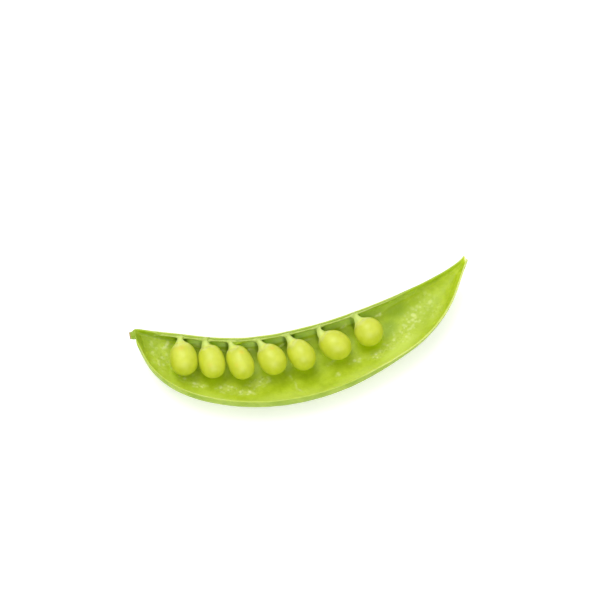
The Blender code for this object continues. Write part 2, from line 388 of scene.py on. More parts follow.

# Colours of the flesh in the hollow: the flesh itself, then painted light where light shines
# through the wall, painted shade where it lies deep, painted light on the band under the string,
# its specks, where it catches light from the peas or gets hardly any, and its spongy patches.
FLESH = srgb(168, 190, 24)
FLESH_LIGHT = srgb(188, 207, 48)
FLESH_PAINTED_GLOW = srgb(204, 221, 92)
FLESH_PAINTED_SHADE = srgb(136, 166, 0)
FLESH_PAINTED_LIGHT = srgb(206, 227, 126)
FLESH_DARK_SPECK = srgb(140, 168, 20)
FLESH_PALE_SPECK = srgb(210, 224, 110)
FLESH_NEAR_PEA = srgb(204, 228, 0)
FLESH_NOOK = srgb(90, 124, 0)
SPONGE_GAP = srgb(142, 170, 30)
SPONGE_HAZE = srgb(208, 220, 108)
SPONGE_FLECK = srgb(228, 234, 162)

# Colours of the skin outside, the rims, whose pale lines are partly a painted highlight, and the
# stem's scar.
SKIN = srgb(140, 168, 32)
SKIN_LIGHT = srgb(162, 184, 62)
SKIN_GRAIN = srgb(178, 196, 88)
SKIN_DOT = srgb(92, 118, 40)
RIM_PALE = srgb(212, 224, 136)
RIM_PALEST_AND_HIGHLIGHT = srgb(240, 244, 196)
SCAR = srgb(138, 104, 62)
SCAR_LIGHT = srgb(196, 166, 120)

# Colours of the peas, and of the string and its stalks.
COAT = srgb(199, 209, 42)
COAT_LIGHT = srgb(208, 217, 62)
COAT_BLUSH = srgb(228, 190, 48)
# The coat under the pad is paler, partly its own colour and partly painted light on the pea's top.
COAT_PAD_AND_LIGHT = srgb(228, 237, 124)
STRAND = srgb(162, 186, 76)
STRAND_LIGHT = srgb(190, 206, 112)
STALK_PAD = srgb(204, 221, 116)
STALK_EDGE = srgb(218, 228, 102)


def add(tree, kind, inputs=None, **settings):
    """A new node. inputs gives each socket a value or the output that feeds it."""
    node = tree.nodes.new(kind)
    for key, value in settings.items():
        setattr(node, key, value)
    for key, value in (inputs or {}).items():
        if isinstance(value, bpy.types.NodeSocket):
            tree.links.new(value, node.inputs[key])
        else:
            node.inputs[key].default_value = value
    return node


def mixed(tree, factor, first, second, blend="MIX"):
    """The colour first where factor is 0 and second where it is 1."""
    inputs = {0: factor, 6: first, 7: second}
    return add(tree, "ShaderNodeMix", inputs, data_type="RGBA", blend_type=blend).outputs[2]


def ramp(tree, value, low, high, to_low=0.0, to_high=1.0):
    """value's range low to high turned into to_low to to_high, with smooth ends."""
    inputs = {"Value": value, 1: low, 2: high, 3: to_low, 4: to_high}
    made = add(tree, "ShaderNodeMapRange", inputs, interpolation_type="SMOOTHSTEP")
    return made.outputs[0]


def calc(tree, operation, first, second=0.0):
    node = add(tree, "ShaderNodeMath", {0: first, 1: second}, operation=operation)
    return node.outputs[0]


def attribute(tree, name):
    return add(tree, "ShaderNodeAttribute", attribute_name=name).outputs["Fac"]


def millimetres(tree, stretch=(1.0, 1.0, 1.0)):
    """The place on the object in millimetres, with each axis shrunk by stretch."""
    place = add(tree, "ShaderNodeTexCoord").outputs["Object"]
    scale = [1 / MM / s for s in stretch]
    node = add(tree, "ShaderNodeVectorMath", {0: place, 1: scale}, operation="MULTIPLY")
    return node.outputs[0]


def noise_at(tree, place, size, detail=2.0, roughness=0.5):
    """Noise from 0 to 1 with lumps of size millimetres."""
    inputs = {"Vector": place, "Scale": 1 / size, "Detail": detail, "Roughness": roughness}
    return add(tree, "ShaderNodeTexNoise", inputs).outputs["Fac"]


def cells_at(tree, place, size, feature="F1"):
    """Distance to the middle of the nearest cell, in cells of size millimetres."""
    inputs = {"Vector": place, "Scale": 1 / size, "Randomness": 1.0}
    return add(tree, "ShaderNodeTexVoronoi", inputs, feature=feature).outputs["Distance"]


def bumped(tree, height, distance):
    inputs = {"Height": height, "Distance": distance, "Strength": 1.0}
    return add(tree, "ShaderNodeBump", inputs).outputs["Normal"]


def new_material(name, roughness, subsurface=0.0, radius=(1.0, 1.0, 0.5)):
    """A new material. radius is how far light spreads in it by colour, in millimetres."""
    material = bpy.data.materials.new(name)
    material.use_nodes = True
    tree = material.node_tree
    shader = tree.nodes["Principled BSDF"]
    shader.inputs["Roughness"].default_value = roughness
    shader.inputs["Subsurface Weight"].default_value = subsurface
    shader.inputs["Subsurface Radius"].default_value = radius
    shader.inputs["Subsurface Scale"].default_value = MM
    shader.inputs["Specular IOR Level"].default_value = SHINE
    return material, tree, shader


def feed(tree, shader, **sockets):
    """Links outputs to the shader's sockets, named with _ for a space."""
    for name, output in sockets.items():
        tree.links.new(output, shader.inputs[name.replace("_", " ")])


def tinted(tree, colour, tints):
    """The colour changed to each tint in turn where the mesh has the mark of that name."""
    for name, tint in tints:
        colour = mixed(tree, attribute(tree, name), colour, tint)
    return colour


def flesh_colour(tree, mottle, speck):
    """The flesh of the hollow without its spongy patches."""
    flesh = mixed(tree, ramp(tree, mottle, 0.3, 0.7), FLESH, FLESH_LIGHT)
    tints = (("glow", FLESH_PAINTED_GLOW), ("deep", FLESH_PAINTED_SHADE), ("band", FLESH_PAINTED_LIGHT))
    flesh = tinted(tree, flesh, tints)
    flesh = mixed(tree, ramp(tree, speck, 0.42, 0.26, 0.0, 0.4), flesh, FLESH_DARK_SPECK)
    flesh = mixed(tree, ramp(tree, speck, 0.58, 0.78, 0.0, 0.45), flesh, FLESH_PALE_SPECK)
    return tinted(tree, flesh, (("near", FLESH_NEAR_PEA), ("nook", FLESH_NOOK)))


def with_sponge(tree, flesh, place, speck):
    """The flesh with its spongy patches, and the pale flecks in them."""
    patch = attribute(tree, "patch")
    gaps = calc(tree, "MULTIPLY", patch, ramp(tree, speck, 0.52, 0.36, 0.0, 0.6))
    flesh = mixed(tree, gaps, flesh, SPONGE_GAP)
    fleck = ramp(tree, cells_at(tree, place, 1.0, "SMOOTH_F1"), 0.5, 0.15)
    gate = ramp(tree, noise_at(tree, place, 1.1, 4.0, 0.7), 0.3, 0.56)
    fleck = calc(tree, "MULTIPLY", calc(tree, "MULTIPLY", fleck, gate), patch)
    haze = calc(tree, "MULTIPLY", patch, ramp(tree, gate, 0.0, 1.0, 0.2, 0.55))
    flesh = mixed(tree, haze, flesh, SPONGE_HAZE)
    return mixed(tree, fleck, flesh, SPONGE_FLECK), fleck


def skin_colour(tree, place, grain):
    """The waxy skin outside, with a bloom, a grain along the pod and tiny dark dots."""
    bloom = noise_at(tree, place, 5.5, 3.0, 0.55)
    skin = mixed(tree, ramp(tree, bloom, 0.35, 0.68), SKIN, SKIN_LIGHT)
    skin = mixed(tree, ramp(tree, grain, 0.35, 0.75, 0.0, 0.3), skin, SKIN_GRAIN)
    dots = ramp(tree, cells_at(tree, place, 1.6), 0.075, 0.045)
    dots = calc(tree, "MULTIPLY", dots, ramp(tree, bloom, 0.45, 0.6, 0.15, 0.7))
    return mixed(tree, dots, skin, SKIN_DOT)


def with_rims(tree, colour, place):
    """The colour with streaky pale rims, partly their own paler colour and partly a painted
    highlight.
    """
    streaks = noise_at(tree, place, 0.5, 3.0, 0.6)
    rim = calc(tree, "MULTIPLY", attribute(tree, "rim"), ramp(tree, streaks, 0.3, 0.6, 0.6, 1.0))
    colour = mixed(tree, rim, colour, RIM_PALE)
    return mixed(tree, ramp(tree, rim, 0.8, 1.0), colour, RIM_PALEST_AND_HIGHLIGHT)


def pod_material():
    """Moist flesh inside, pale rims, satin waxy skin outside and a dry brown scar."""
    material, tree, shader = new_material("pod_flesh_and_skin", 0.42, 0.5, (1.5, 1.6, 0.3))
    place = millimetres(tree)
    mottle = noise_at(tree, place, 2.4, 4.0, 0.6)
    speck = noise_at(tree, place, 0.55, 3.0, 0.7)
    grain = noise_at(tree, millimetres(tree, (5.0, 1.6, 1.6)), 0.8, 5.0, 0.65)
    flesh, fleck = with_sponge(tree, flesh_colour(tree, mottle, speck), place, speck)

    inside = attribute(tree, "inside")
    colour = mixed(tree, inside, skin_colour(tree, place, grain), flesh)
    colour = with_rims(tree, colour, place)
    scar = attribute(tree, "scar")
    fibres = noise_at(tree, place, 0.25, 4.0, 0.7)
    colour = mixed(tree, scar, colour, mixed(tree, fibres, SCAR, SCAR_LIGHT))

    # The inside is moister and the scar drier.
    rough = ramp(tree, mottle, 0.3, 0.7, 0.42, 0.52)
    rough = calc(tree, "ADD", rough, calc(tree, "MULTIPLY", inside, -0.1))
    rough = calc(tree, "ADD", rough, calc(tree, "MULTIPLY", scar, 0.4))
    relief = calc(tree, "ADD", fleck, calc(tree, "MULTIPLY", speck, 0.7))
    relief = calc(tree, "ADD", relief, calc(tree, "MULTIPLY", grain, 0.5))
    normal = bumped(tree, relief, 0.05 * MM)
    feed(tree, shader, Base_Color=colour, Roughness=rough, Normal=normal)
    return material


def pea_material():
    """Satin seed coat, paler where the stalk's pad lies, partly the pad's own paleness and partly
    painted light on the pea's top, with a few warm blushes.
    """
    material, tree, shader = new_material("pea_coat", 0.38, 0.8, (2.6, 2.6, 0.5))
    shader.inputs["Specular IOR Level"].default_value = PEA_SHINE
    place = millimetres(tree)
    mottle = noise_at(tree, place, 1.8, 3.0, 0.5)
    coat = mixed(tree, ramp(tree, mottle, 0.3, 0.7), COAT, COAT_LIGHT)
    coat = tinted(tree, coat, (("warm", COAT_BLUSH), ("pad", COAT_PAD_AND_LIGHT)))
    rough = ramp(tree, mottle, 0.25, 0.75, 0.38, 0.48)
    fine = noise_at(tree, place, 0.35, 3.0, 0.6)
    normal = bumped(tree, fine, 0.012 * MM)
    feed(tree, shader, Base_Color=coat, Roughness=rough, Normal=normal)
    return material


def string_material():
    """Pale, moist, slightly see-through strands, yellower where they run out on a pea."""
    material, tree, shader = new_material("string_and_stalks", 0.36, 0.4, (1.2, 1.3, 0.7))
    strands = noise_at(tree, millimetres(tree, (3.0, 1.0, 1.0)), 0.4, 3.0, 0.6)
    colour = mixed(tree, ramp(tree, strands, 0.3, 0.7), STRAND, STRAND_LIGHT)
    colour = tinted(tree, colour, (("pad", STALK_PAD), ("edge", STALK_EDGE)))
    normal = bumped(tree, strands, 0.03 * MM)
    feed(tree, shader, Base_Color=colour, Normal=normal)
    return material


# Peas.


def pea_axes(number):
    """The pea's half widths, its turn and its centre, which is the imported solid's."""
    _, half_widths, turn = PEAS_MM[number - 1]
    _, _, further, size = PEA_LOOKS[number - 1]
    low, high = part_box(f"pea_{number}")
    centre = (np.array(low) + np.array(high)) / 2
    turning = np.array(Matrix.Rotation(math.radians(turn + further), 3, "Z"))
    return np.array(half_widths) * MM * size, turning, centre


def pea_surface(number, directions):
    """Points on a pea in these unit directions, given along its own axes."""
    half_widths, turning, centre = pea_axes(number)
    square, egg, _, _ = PEA_LOOKS[number - 1]
    narrow = 1 - egg * directions[..., 1:2]
    scale = np.concatenate([narrow, np.ones_like(narrow), narrow], axis=-1)
    level = (directions[..., :2] ** 2).sum(axis=-1, keepdims=True)
    powers = (np.abs(directions[..., :2]) ** square).sum(axis=-1, keepdims=True)
    squarer = np.sqrt(level) / np.maximum(powers, 1e-9) ** (1 / square)
    scale[..., :2] *= 1 + (squarer - 1) * level
    return (directions * scale * half_widths) @ turning.T + centre


def pea_gap(number, points):
    """How far points are outside a pea, measured from its middle."""
    half_widths, turning, centre = pea_axes(number)
    local = (points - centre) @ turning / half_widths
    return (norm(local) - 1) * half_widths.mean()


def rings_about(axis, tilts, turns):
    """Unit directions at each tilt from axis and each turn round it."""
    axis = unit(np.asarray(axis, float))
    first = unit(np.cross(axis, (0.0, 0.0, 1.0)))
    second = np.cross(axis, first)
    tilts, turns = np.broadcast_arrays(tilts, turns)
    around = np.cos(turns)[..., None] * first + np.sin(turns)[..., None] * second
    return np.cos(tilts)[..., None] * axis + np.sin(tilts)[..., None] * around


# Where the middle of each stalk's pad lies on its pea: how far to the side, the rest of the way
# there, which is the same for all, and how far the pad reaches round the pea in degrees.
PAD_SIDES = (-0.05, -0.12, -0.12, -0.10, -0.10, 0.02, -0.05)
PAD_WAY = (0.93, 0.36)
PAD_REACHES = (29, 27, 28, 28, 30, 25, 30)

# Warm blushes on the peas: the pea, the direction from its middle, the reach in degrees, strength.
BLUSHES = (
    (1, (-0.03, 0.37, 0.93), 14, 0.4),
    (1, (-0.28, 0.50, 0.82), 12, 0.25),
    (3, (0.22, 0.28, 0.93), 10, 0.45),
    (4, (0.14, 0.38, 0.91), 10, 0.45),
    (2, (-0.20, -0.62, 0.75), 9, 0.2),
    (3, (-0.35, -0.55, 0.75), 9, 0.2),
    (6, (0.45, 0.10, 0.88), 10, 0.15),
)


def tilt_from(directions, axis):
    """How far each unit direction is tilted from an axis, in degrees."""
    return np.degrees(np.arccos(np.clip(directions @ axis, -1, 1)))


def blush(number, directions):
    """How warm the pea's colour is in each direction from its middle."""
    warm = np.zeros(directions.shape[:-1])
    for pea, way, wide, strength in BLUSHES:
        if pea == number:
            tilt = tilt_from(directions, unit(np.array(way)))
            warm = np.maximum(warm, strength * bell(tilt, wide))
    return warm


def pad_axis(number):
    """The way from a pea's middle to that of its stalk's pad, in the pea's own directions."""
    return unit(np.array([PAD_SIDES[number - 1], *PAD_WAY]))


def make_peas(material):
    tilts = np.linspace(PEA_POLE, math.pi - PEA_POLE, PEA_COLUMNS)[:, None]
    turns = full_turn(PEA_ROWS)[None, :]
    directions = rings_about((0, 1, 0), tilts, turns)
    for number in PEAS:
        points = pea_surface(number, directions)
        middle = pea_axes(number)[2]
        reach = PAD_REACHES[number - 1]
        tilt = tilt_from(directions, pad_axis(number))
        # Small waves of the coat, none under the stalk's pad.
        swell = lumps(points, 2.6 * MM, number) * 0.05 * MM * smooth(tilt, reach, reach * 2)
        points = points + unit(points - middle) * swell[..., None]
        mesh = loop_mesh(f"pea_coat_{number}", points)
        ragged = reach * (1 + 0.25 * lumps(points, 1.1 * MM, 30 + number))
        mark(mesh, "pad", 1 - smooth(tilt, ragged * 0.8, ragged * 1.7))
        mark(mesh, "warm", blush(number, unit(points - middle)))
        add_piece(f"pea_coat_{number}", mesh, material, "pea_yellow_green", f"pea_{number}")


# The string and its stalks.


def strung(along):
    """1 where the string runs and 0 beyond its ends."""
    return between(along, *STRING_RUNS)


def string_points(along):
    """The string's centre line, close inside the ventral rim."""
    ventral, dorsal, height, _, _, _ = stations(along)
    inset = STRING_INSET * (1 - 0.25 * smooth(along, *STRING_NEARS_RIM))
    inside = ventral + unit(dorsal - ventral) * inset[:, None]
    return np.column_stack([inside, height])


def tube_loops(line, radii, rows):
    """Loops of points round a line."""
    tangents = unit(np.gradient(line, axis=0))
    sideways = unit(np.cross(tangents, (0.0, 0.0, 1.0)))
    upwards = np.cross(sideways, tangents)
    turns = full_turn(rows)
    circle = (
        np.cos(turns)[None, :, None] * sideways[:, None]
        + np.sin(turns)[None, :, None] * upwards[:, None]
    )
    return line[:, None] + circle * np.asarray(radii)[:, None, None]


def string_mesh():
    """The string: thinner and lower at its ends, and thicker where a stalk leaves it."""
    shares = np.linspace(0, 1, STRING_LOOPS)
    line = string_points(STRING_FROM + (STRING_TO - STRING_FROM) * shares)
    taper = smooth(np.minimum(shares, 1 - shares), 0, STRING_END_SHARE)
    line[:, 2] -= (1 - taper) * STRING_END_DROP
    radii = STRING_RADIUS * (0.5 + 0.5 * taper)
    radii = radii * (1 + 0.15 * lumps(line, 1.8 * MM, 3))
    for root_x, swell in zip(STALK_ROOTS_MM, ROOT_SWELLS_MM):
        radii = radii + bell(line[:, 0] - root_x * MM, ROOT_REACH) * swell * MM
    return loop_mesh("string", tube_loops(line, radii, STRING_ROWS))


# Stalks: the outline's radius that reaches to the pad's edge, how far out of the pea a stalk bends
# as a share of its length, how deep its foot sinks into the pea, and which way its root is lifted.
PAD_RADIUS = 1.72 * MM
STALK_BEND = 0.45
STALK_SINK = 1.6 * MM
ROOT_LIFT_WAY = (0.4, 0.9)

# How wide each stalk is, and a stalk's outline: how far along it is from pea to string, and its
# radius in millimetres. The first few places lie inside the pea.
STALK_WIDTHS = (1.05, 1.2, 0.95, 1.0, 1.05, 1.25, 1.05)
STALK_OUTLINE = (
    (-0.30, 1.50),
    (-0.14, 2.00),
    (-0.06, 2.20),
    (-0.02, 2.05),
    (0.0, 1.84),
    (0.015, 1.62),
    (0.06, 1.34),
    (0.17, 1.10),
    (0.32, 0.90),
    (0.50, 0.76),
    (0.70, 0.70),
    (0.88, 0.80),
    (1.02, 0.95),
)


def pad_top(number):
    """The point on a pea under the middle of its stalk's pad."""
    return pea_surface(number, pad_axis(number)[None])[0]


def stalk_root(number):
    """The point on the string that a stalk grows from."""
    line = string_points(np.linspace(STRING_FROM, STRING_TO, SEARCHED_ROOTS))
    nearest = np.argmin(np.abs(line[:, 0] - STALK_ROOTS_MM[number - 1] * MM))
    root = line[nearest].copy()
    root[1:] += np.array(ROOT_LIFT_WAY) * ROOT_LIFTS_MM[number - 1] * MM
    return root


def stalk_middle(number, place, normal):
    """A stalk's centre line: out of the pea along its normal, then bent over to the string."""
    top = pad_top(number)
    root = stalk_root(number)
    bend = top + normal * norm(root - top) * STALK_BEND
    share = np.clip(place, 0, None)[:, None]
    middle = (1 - share) ** 2 * top + 2 * share * (1 - share) * bend + share**2 * root
    return middle + np.minimum(place, 0)[:, None] * normal * STALK_SINK


def stalk_mesh(number):
    """A stalk that spreads from the string onto its pea like an upturned funnel."""
    top, axis = pad_top(number), pad_axis(number)
    half_widths, turning, _ = pea_axes(number)
    normal = unit(axis / half_widths) @ turning.T
    outline = spline(STALK_OUTLINE, np.linspace(0, len(STALK_OUTLINE) - 1, STALK_LOOPS))
    place = outline[:, 0]
    middle = stalk_middle(number, place, normal)
    widened = 1 + (STALK_WIDTHS[number - 1] - 1) * smooth(place, 0.05, 0.3)
    radius = outline[:, 1] * MM * widened

    # The pad's edge is ragged, and the stalk above it isn't.
    turns = full_turn(STALK_ROWS)
    ragged = 0.12 * np.cos(2 * turns + number) + 0.08 * np.cos(5 * turns + 2.3 * number)
    by_edge = smooth(radius, 0.8 * MM, 1.7 * MM)[:, None]
    wide = math.radians(PAD_REACHES[number - 1]) * radius[:, None] / PAD_RADIUS
    directions = rings_about(axis, wide * (1 + ragged[None, :] * by_edge), turns[None, :])
    loops = pea_surface(number, directions) - top + middle[:, None]
    ribs = 0.07 * MM * lumps(directions * 1.6, 1.0, 40 + number) + 0.05 * MM * np.cos(turns * 6)
    return loop_mesh(f"stalk_{number}", loops + unit(loops - middle[:, None]) * ribs[..., None])


def merged(name, meshes):
    """One skin over overlapping closed meshes, with its joins smoothed."""
    together = bmesh.new()
    for mesh in meshes:
        together.from_mesh(mesh)
    mesh = bpy.data.meshes.new(name)
    together.to_mesh(mesh)
    together.free()
    holder = new_object(name, mesh)
    remesh = holder.modifiers.new("skin", "REMESH")
    remesh.mode = "VOXEL"
    remesh.voxel_size = STRING_VOXEL
    soften = holder.modifiers.new("soften", "SMOOTH")
    soften.factor = 0.5
    soften.iterations = STRING_ROUNDS
    graph = bpy.context.evaluated_depsgraph_get()
    skin = bpy.data.meshes.new_from_object(holder.evaluated_get(graph))
    bpy.data.objects.remove(holder)
    skin.name = name
    skin.shade_smooth()
    return skin


def make_string(material):
    meshes = [string_mesh()] + [stalk_mesh(number) for number in PEAS]
    mesh = merged("suture_and_stalks", meshes)
    points = np.empty(len(mesh.vertices) * 3)
    mesh.vertices.foreach_get("co", points)
    points = points.reshape(-1, 3)
    from_top = np.min([norm(points - pad_top(number)) for number in PEAS], axis=0)
    from_pea = np.min([pea_gap(number, points) for number in PEAS], axis=0)
    mark(mesh, "pad", 1 - smooth(from_top, 0.8 * MM, 2.2 * MM))
    mark(mesh, "edge", 1 - smooth(from_pea, 0.04 * MM, 0.3 * MM))
    add_piece("suture_and_stalks", mesh, material, "string_pale", "suture_string")


# The valve.

# Spongy pale patches on the inside: plan position, half length, half width, the direction of the
# length in degrees, and strength.
PATCHES_MM = (
    ((-36.0, 6.5), 5.0, 2.8, -60, 0.5),
    ((-31.5, 0.5), 3.5, 1.8, -50, 0.5),
    ((-34.8, 8.7), 1.5, 0.6, 45, 1.0),
    ((-37.5, 7.6), 1.8, 1.2, -70, 0.6),
    ((-36.6, 4.4), 2.2, 1.1, -60, 0.65),
    ((-29.2, -2.3), 2.4, 1.1, -35, 0.9),
    ((-22.4, -5.0), 2.6, 1.3, -20, 1.0),
    ((-18.6, -6.9), 2.8, 1.0, -10, 1.0),
    ((-14.6, -4.8), 3.0, 1.3, 5, 0.9),
    ((3.4, -3.8), 1.2, 0.6, 20, 0.6),
    ((4.2, -7.6), 0.9, 0.8, -50, 0.7),
    ((9.5, -4.8), 2.0, 1.1, 10, 0.6),
    ((14.7, -5.0), 2.0, 1.4, 20, 1.0),
    ((18.6, -3.0), 2.6, 1.6, 28, 0.65),
    ((22.3, -1.0), 3.2, 2.2, 42, 0.62),
    ((25.7, 2.0), 3.2, 2.3, 50, 0.55),
    ((29.4, 5.2), 3.2, 2.0, 45, 0.4),
    ((31.5, 2.2), 2.5, 1.2, 50, 0.4),
)

# Where the inside is painted lighter and yellower, as light shining through the wall, and where it
# is painted deeper green, as shade.
PAINTED_GLOWS_MM = (
    ((8.4, -10.6), 9.0, 2.2, 14, 0.9),
    ((19.7, -6.0), 8.0, 2.4, 34, 1.0),
    ((29.5, 0.9), 7.0, 2.6, 50, 0.4),
    ((-10.0, -11.6), 12.0, 2.2, -2, 0.7),
    ((-26.0, -8.0), 8.0, 2.0, -32, 0.6),
    ((-35.5, -1.0), 6.0, 1.8, -60, 0.5),
)
PAINTED_SHADES_MM = (
    ((-38.8, 10.2), 3.2, 2.0, -45, 0.6),
    ((22.6, 5.2), 4.2, 2.2, 14, 0.75),
    ((19.6, 1.5), 3.4, 2.2, 70, 0.75),
    ((33.0, 9.0), 6.0, 1.5, 25, 0.15),
    ((-3.0, -7.0), 5.0, 2.2, 0, 0.2),
    ((28.0, 4.0), 6.0, 4.0, 45, 0.45),
)

# The corners beside the stalks' roots, where hardly any light gets in.
NOOKS_MM = (
    ((-31.6, 9.7), 0.5, 0.4, -20, 0.7),
    ((-29.8, 9.1), 0.8, 0.5, -20, 0.9),
    ((-26.2, 6.6), 0.5, 1.2, 0, 0.5),
    ((-20.1, 5.2), 0.5, 1.3, 0, 0.7),
    ((-18.0, 5.3), 0.8, 0.5, -10, 0.9),
    ((-13.2, 4.0), 0.5, 1.2, 0, 0.55),
    ((-11.9, 4.4), 0.8, 0.45, 0, 0.7),
    ((-6.3, 3.7), 0.5, 1.1, 0, 0.6),
    ((-4.4, 4.1), 0.9, 0.45, 10, 0.9),
    ((1.8, 3.4), 0.5, 1.1, 10, 0.5),
    ((2.9, 4.4), 0.8, 0.45, 10, 0.8),
    ((11.0, 4.2), 0.5, 1.1, 20, 0.5),
    ((12.2, 5.2), 0.8, 0.4, 10, 0.8),
)

# How far the band of painted light under the string reaches down the wall, in degrees, at places
# along the pod.
BAND_PLACES = (0.0, 0.2, 0.6, 0.68, 0.71, 0.74, 0.8, 1.0)
BAND_DEGREES = (20, 26, 28, 40, 42, 28, 18, 12)

# Small raised pale streaks low on the ventral wall, to the right of each pea's stalk, and a crease
# of three that runs down the hollow from between the fourth and the fifth pea. The streaks'
# paleness is partly a painted highlight.
TICKS_MM = (
    ((-27.1, 7.3), 0.9, 0.2, -20, 0.7),
    ((-21.4, 5.1), 0.8, 0.2, -25, 0.7),
    ((-14.9, 3.9), 0.8, 0.2, -10, 0.8),
    ((-7.2, 3.2), 0.9, 0.2, 15, 0.8),
    ((-0.5, 3.2), 0.9, 0.18, 0, 0.9),
    ((8.6, 4.3), 0.8, 0.18, 10, 1.0),
    ((9.2, 4.5), 0.35, 0.3, 60, 1.0),
    ((17.6, 5.2), 0.8, 0.16, 5, 1.0),
    ((18.1, 5.3), 0.35, 0.3, 60, 1.0),
    ((-6.9, -5.4), 0.9, 0.3, -80, 0.25),
    ((-6.35, -8.0), 1.3, 0.26, -92, 0.5),
    ((-5.8, -9.9), 1.0, 0.24, -56, 0.55),
)
TICK_HEIGHT = 0.12 * MM


def spots(points, marks):
    """How strongly each point lies in one of the marks."""
    found = np.zeros(points.shape[:-1])
    for (x, y), half_length, half_width, direction, strength in marks:
        turn = math.radians(direction)
        dx, dy = points[..., 0] - x * MM, points[..., 1] - y * MM
        lengthwise = dx * math.cos(turn) + dy * math.sin(turn)
        sideways = dy * math.cos(turn) - dx * math.sin(turn)
        away = (lengthwise / (half_length * MM)) ** 2 + (sideways / (half_width * MM)) ** 2
        found = np.maximum(found, strength * np.exp(-(away**1.5)))
    return found


def wall_thickness(along, angle):
    ventral, dorsal = stations(along)[:2]
    width = norm(dorsal - ventral)[:, None]
    taper = smooth(np.minimum(angle, math.pi - angle), 0, RIM_TAPER_ANGLE)[None, :]
    share = RIM_WALL_SHARE + (1 - RIM_WALL_SHARE) * taper
    thick = WALL * np.minimum(1, MOST_WALL_SHARE * width / WALL) * share
    place = along[:, None]
    by_dorsal = bell(math.pi - angle, DORSAL_WIDENING_ANGLE)[None, :]
    by_ventral = bell(angle, BED_ANGLE)[None, :]
    thick = thick + DORSAL_WIDENING * between(place, *DORSAL_WIDENED) * by_dorsal
    thick = thick + BED_WIDTH * strung(place) * by_ventral
    tip = smooth(place, *TIP_WIDENED) * (by_dorsal + TIP_VENTRAL_SHARE * by_ventral)
    return thick + TIP_WIDENING * tip


def tucked(along, angle):
    """How far the outside is drawn in under the dorsal rim, on both sides of the middle."""
    below = np.degrees(math.pi - angle)[None, :]
    place = along[:, None]
    left = TUCK_LEFT * between(place, *TUCKED_LEFT)
    right = TUCK_RIGHT * between(place, *TUCKED_RIGHT) * smooth(below, *TUCK_COMES)
    return (left + right) * (1 - smooth(below, *TUCK_GOES))


def pea_seats(points):
    """How far the inner wall rises to meet each pea."""
    rise = np.zeros(points.shape[:-1])
    for number in PEAS:
        gap = pea_gap(number, points)
        nearest = np.unravel_index(np.argmin(gap), gap.shape)
        away = norm(points - points[nearest])
        rise = np.maximum(rise, (gap[nearest] + SEAT_OVERLAP) * bell(away, SEAT_REACH))
    return rise


def rim_turns():
    """The turns of the points over a rim, from its outer edge to its inner one."""
    return np.linspace(0, math.pi, RIM_ROWS + 2)[1:-1]


def rim_loops(outer_end, inner_end, upwards, along, groove):
    """Points over a rim, soft at both edges, with a groove between them and a knob at the tip."""
    turns = rim_turns()
    middle = (outer_end + inner_end) / 2
    half = outer_end - middle
    size = norm(half) * (1 + TIP_KNOB * smooth(along, *TIP_KNOBS))
    dip = groove[:, None] * bell(turns - math.pi / 2, GROOVE_TURN)
    height = RIM_HEIGHT * np.sin(turns) ** RIM_FULLNESS - dip
    return (
        middle[:, None]
        + half[:, None] * np.cos(turns)[None, :, None]
        + upwards[:, None] * (size[:, None] * height)[..., None]
    )


# The stem's stub and the neck that it grows from: the ends of its middle line, and its outline, as
# how far out along that line, the radius there, and how much of the valve's own section is left.
# The loops run from the outline's last place to STUB_OUTLINE_FROM.
STUB_AXIS_MM = ((-41.1, 12.42, 5.98), (-42.5, 12.6, 6.05))
STUB_OUTLINE = (
    (0.0, 1.13, 1.0),
    (0.2, 1.13, 0.75),
    (0.4, 1.10, 0.4),
    (0.6, 1.02, 0.12),
    (0.8, 0.93, 0.0),
    (0.93, 0.90, 0.0),
    (1.0, 0.80, 0.0),
    (0.985, 0.62, 0.0),
    (0.95, 0.40, 0.0),
    (0.93, 0.12, 0.0),
)
STUB_OUTLINE_FROM = 0.35

# How far out along the stub its brown scar comes up.
SCAR_RISE = (0.7, 0.95)


def stub_circle(section):
    """A unit circle whose points stand for those of a section, evenly over and under it."""
    last = OUTER_ROWS - 1
    steps = norm(np.roll(section, -1, 0) - section)
    under = np.concatenate([[0], np.cumsum(steps[:last])])
    over = np.cumsum(steps[last:-1])
    turns = np.concatenate([under / under[-1], 1 + over / (over[-1] + steps[-1])]) * math.pi
    to_ventral = unit(section[0] - section[last])
    return np.cos(turns)[:, None] * to_ventral - np.sin(turns)[:, None] * np.array([0, 0, 1.0])


def stub_loops(section):
    """Loops from the stub's broken end in to the valve's first section, and how far out each is."""
    circle = stub_circle(section)
    middle = section.mean(axis=0)
    start, end = (np.array(point) * MM for point in STUB_AXIS_MM)
    steps = np.linspace(len(STUB_OUTLINE) - 1, STUB_OUTLINE_FROM, STUB_LOOPS)
    outline = spline(STUB_OUTLINE, steps)
    loops = []
    for out, radius, own in outline:
        own = float(np.clip(own, 0, 1))
        centre = start + (end - start) * out
        centre = centre + (middle - start) * (1 - smooth(out, 0.0, 0.6))
        shape = (section - middle) * own + circle * radius * MM * (1 - own)
        loops.append(centre + shape)
    loops = np.array(loops)
    far = outline[:, 0]
    away = lumps(loops, 0.7 * MM, 21) * 0.06 * MM * smooth(far, 0.1, 0.5)[:, None]
    return loops + unit(circle)[None] * away[..., None], far


def outer_skin(along, round_off, angle):
    """The outside's points, and unit tangents towards the dorsal rim."""
    points = outside(along[:, None], angle[None, :])
    normal, tangent = outward(along[:, None], angle[None, :])
    drawn_in = wall_thickness(along, angle) * (1 - round_off[:, None]) / 2 + tucked(along, angle)
    points = points - normal * drawn_in[..., None]
    waves = lumps(points, 3.0 * MM, 1) * 0.05 * MM
    points = points + normal * waves[..., None]
    # The flat spot that the pod lies on, with a soft edge.
    level = points[..., 2]
    points[..., 2] = (level + np.sqrt(level**2 + FLAT_SOFTNESS**2)) / 2
    return points, tangent


